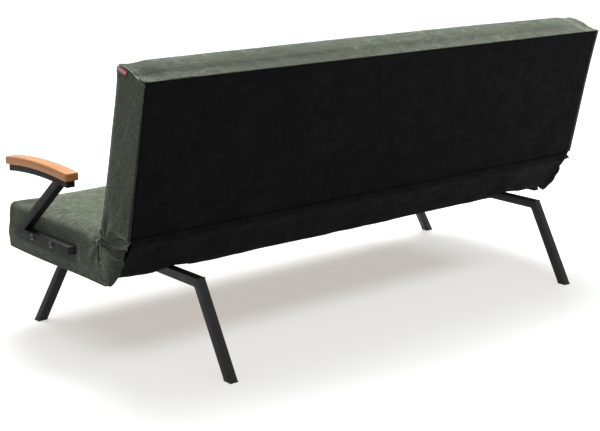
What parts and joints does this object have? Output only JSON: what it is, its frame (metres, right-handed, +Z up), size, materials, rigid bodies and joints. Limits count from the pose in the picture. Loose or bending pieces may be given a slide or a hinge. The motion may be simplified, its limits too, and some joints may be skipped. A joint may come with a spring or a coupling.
{
  "type": "futon sofa bed",
  "caption": "Click-clack futon sofa bed: upholstered seat and folding back on a square steel tube underframe, with curved wooden armrests.",
  "frame": {"origin": "on the floor, at the middle of the sofa's bounding box", "axes": "+X along the sofa towards its right end seen from the back, +Y from the seat's front to the back, +Z up"},
  "size_m": [2.08, 0.9752, 0.9665],
  "materials": {
    "wool_cover": "green mottled wool-like weave, matte",
    "dust_cover": "black spunbond lining, matte",
    "red_tab": "red ribbon, satin",
    "black_steel": "satin black powder coat",
    "zinc_steel": "zinc-plated pressed steel",
    "black_plastic": "matte moulded",
    "beech": "clear satin lacquer",
    "frame_wood": "planed, unfinished"
  },
  "bodies": {
    "base": {"side_rail_left": "black_steel", "side_rail_right": "black_steel", "rear_leg_left": "black_steel", "rear_leg_right": "black_steel", "front_leg_left": "black_steel", "front_leg_right": "black_steel", "front_cross_tube": "black_steel", "rear_cross_tube": "black_steel", "rear_foot_glide_left": "black_plastic", "rear_foot_glide_right": "black_plastic", "front_foot_glide_left": "black_plastic", "front_foot_glide_right": "black_plastic", "seat_front_board": "frame_wood", "seat_rear_board": "frame_wood", "seat_end_board_left": "frame_wood", "seat_end_board_right": "frame_wood", "seat_centre_brace": "frame_wood", "seat_bearer_left": "frame_wood", "seat_bearer_right": "frame_wood", "frame_bolt_front_left": "zinc_steel", "frame_bolt_front_right": "zinc_steel", "frame_bolt_rear_left": "zinc_steel", "frame_bolt_rear_right": "zinc_steel", "seat_dust_cover": "dust_cover", "seat_springs": "zinc_steel", "seat_pad": "wool_cover", "armrest_frame_left": "black_steel", "armrest_frame_right": "black_steel", "armrest_wood_left": "beech", "armrest_wood_right": "beech", "armrest_bolt_front_left": "black_steel", "armrest_bolt_front_right": "black_steel", "armrest_bolt_rear_left": "black_steel", "armrest_bolt_rear_right": "black_steel", "armrest_end_cap_left": "black_plastic", "armrest_end_cap_right": "black_plastic", "seat_hinge_plate_left": "zinc_steel", "seat_hinge_plate_right": "zinc_steel", "ratchet_quadrant_left": "zinc_steel", "ratchet_quadrant_right": "zinc_steel", "pivot_pin_left": "zinc_steel", "pivot_pin_right": "zinc_steel", "hinge_flap": "dust_cover", "end_gusset_left": "wool_cover", "end_gusset_right": "wool_cover"},
    "back": {"back_bottom_board": "frame_wood", "back_top_board": "frame_wood", "back_end_board_left": "frame_wood", "back_end_board_right": "frame_wood", "back_centre_brace": "frame_wood", "back_springs": "zinc_steel", "back_pad": "wool_cover", "back_panel": "dust_cover", "corner_tab": "red_tab", "back_hinge_plate_left": "zinc_steel", "back_hinge_plate_right": "zinc_steel", "pawl_pin_left": "zinc_steel", "pawl_pin_right": "zinc_steel"},
    "pawl_left": {"ratchet_pawl_left": "zinc_steel"},
    "pawl_right": {"ratchet_pawl_right": "zinc_steel"}
  },
  "joints": [
    {"name": "back_fold", "type": "hinge", "parent": "base", "child": "back", "pos_m": [0, 0.14806, 0.41109], "axis": [-1, 0, 0], "range_deg": [-8, 76.1], "deforming": ["hinge_flap", "end_gusset_left", "end_gusset_right"]},
    {"name": "pawl_left_turn", "type": "hinge", "parent": "back", "child": "pawl_left", "pos_m": [-0.922, 0.18503, 0.42729], "axis": [-1, 0, 0], "range_deg": [0, 9], "stiffness_Nm_per_rad": 0.6},
    {"name": "pawl_right_turn", "type": "hinge", "parent": "back", "child": "pawl_right", "pos_m": [0.922, 0.18503, 0.42729], "axis": [-1, 0, 0], "range_deg": [0, 9], "stiffness_Nm_per_rad": 0.6}
  ]
}
